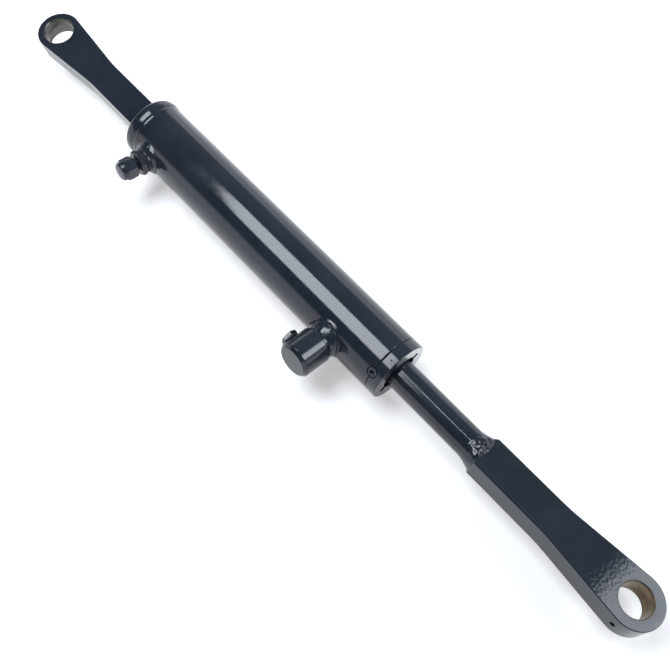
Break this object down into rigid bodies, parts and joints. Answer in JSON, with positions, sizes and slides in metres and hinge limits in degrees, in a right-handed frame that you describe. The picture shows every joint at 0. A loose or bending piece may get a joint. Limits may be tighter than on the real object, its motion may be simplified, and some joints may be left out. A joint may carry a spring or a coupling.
{
  "type": "hydraulic cylinder",
  "caption": "Welded double-acting hydraulic cylinder with a flat eye lug at each end, side ports near both ends of the barrel, and a piston rod that slides and turns.",
  "frame": {"origin": "middle of the base pin hole", "axes": "+X along the cylinder towards the rod pin, +Z along the base pin, the oil ports look towards -Y"},
  "size_m": [0.8093, 0.0985, 0.0663],
  "materials": {
    "anthracite_paint": "gloss paint with slight orange peel",
    "bare_steel": "turned steel, oiled",
    "hard_chrome": "polished hard chrome, the exposed stub painted over",
    "bronze": "dull greased bronze",
    "nitrile_rubber": "matte",
    "polyurethane": "satin",
    "phenolic": "matte woven resin"
  },
  "bodies": {
    "barrel": {"base_lug": "anthracite_paint", "base_eye_bush": "bare_steel", "base_lug_weld": "anthracite_paint", "base_cap": "anthracite_paint", "base_cap_weld": "anthracite_paint", "barrel_tube": "anthracite_paint", "gland": "anthracite_paint", "rod_guide_ring": "phenolic", "rod_seal": "polyurethane", "rod_wiper": "nitrile_rubber", "gland_backup_ring": "phenolic", "gland_o_ring": "nitrile_rubber", "gland_lock_screw": "anthracite_paint", "base_port_boss": "anthracite_paint", "base_port_weld": "anthracite_paint", "base_port_washer": "nitrile_rubber", "base_port_adaptor": "anthracite_paint", "base_port_cap": "anthracite_paint", "rod_port_boss": "anthracite_paint", "rod_port_weld": "anthracite_paint", "rod_port_washer": "nitrile_rubber", "rod_port_plug": "anthracite_paint"},
    "piston_rings": {"piston_seal": "polyurethane", "piston_wear_ring_rear": "phenolic", "piston_wear_ring_front": "phenolic"},
    "rod": {"piston_rod": "hard_chrome", "piston": "bare_steel", "piston_o_ring": "nitrile_rubber", "piston_nut": "bare_steel", "rod_lug": "anthracite_paint", "rod_eye_bush": "bronze", "rod_lug_weld": "anthracite_paint"}
  },
  "joints": [
    {"name": "rod_slide", "type": "slide", "parent": "barrel", "child": "piston_rings", "axis": [1, 0, 0], "range_m": [0, 0.2]},
    {"name": "rod_turn", "type": "hinge", "parent": "piston_rings", "child": "rod", "pos_m": [0.21, 0, 0], "axis": [1, 0, 0], "continuous": true}
  ]
}
